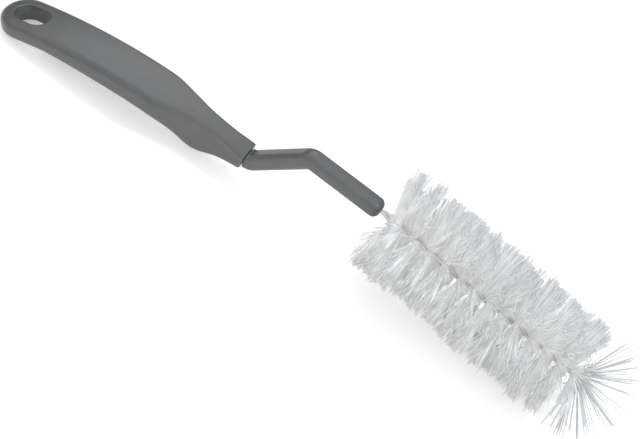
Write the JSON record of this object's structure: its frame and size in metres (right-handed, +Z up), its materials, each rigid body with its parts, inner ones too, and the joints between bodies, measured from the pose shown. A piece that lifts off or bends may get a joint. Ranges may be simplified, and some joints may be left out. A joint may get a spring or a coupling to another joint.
{
  "type": "bottle brush",
  "caption": "Bottle brush with an arched handle that has a hanging hole, a cranked shank and a round head of bristles on a twisted wire, fanned at the tip.",
  "frame": {"origin": "centre of the laid-down brush's box, on the surface that it lies on", "axes": "+X from the hang end to the tip, +Z up with the handle arching upwards, +Y to the handle's left side"},
  "size_m": [0.4114, 0.0648, 0.0769],
  "materials": {
    "grey_plastic": "satin moulded plastic, mid-dark neutral grey, with a faint mottle and fine grain",
    "coated_wire": "twisted steel wire in a grey-beige coat",
    "white_nylon": "translucent white nylon filament"
  },
  "bodies": {
    "root": {"handle": "grey_plastic", "shank": "grey_plastic", "wire_core": "coated_wire", "bristle_band_01": "white_nylon", "bristle_band_02": "white_nylon", "bristle_band_03": "white_nylon", "bristle_band_04": "white_nylon", "bristle_band_05": "white_nylon", "bristle_band_06": "white_nylon", "bristle_band_07": "white_nylon", "bristle_band_08": "white_nylon", "bristle_band_09": "white_nylon", "bristle_band_10": "white_nylon", "bristle_band_11": "white_nylon", "bristle_band_12": "white_nylon", "bristle_band_13": "white_nylon", "tip_tuft": "white_nylon"}
  },
  "joints": []
}
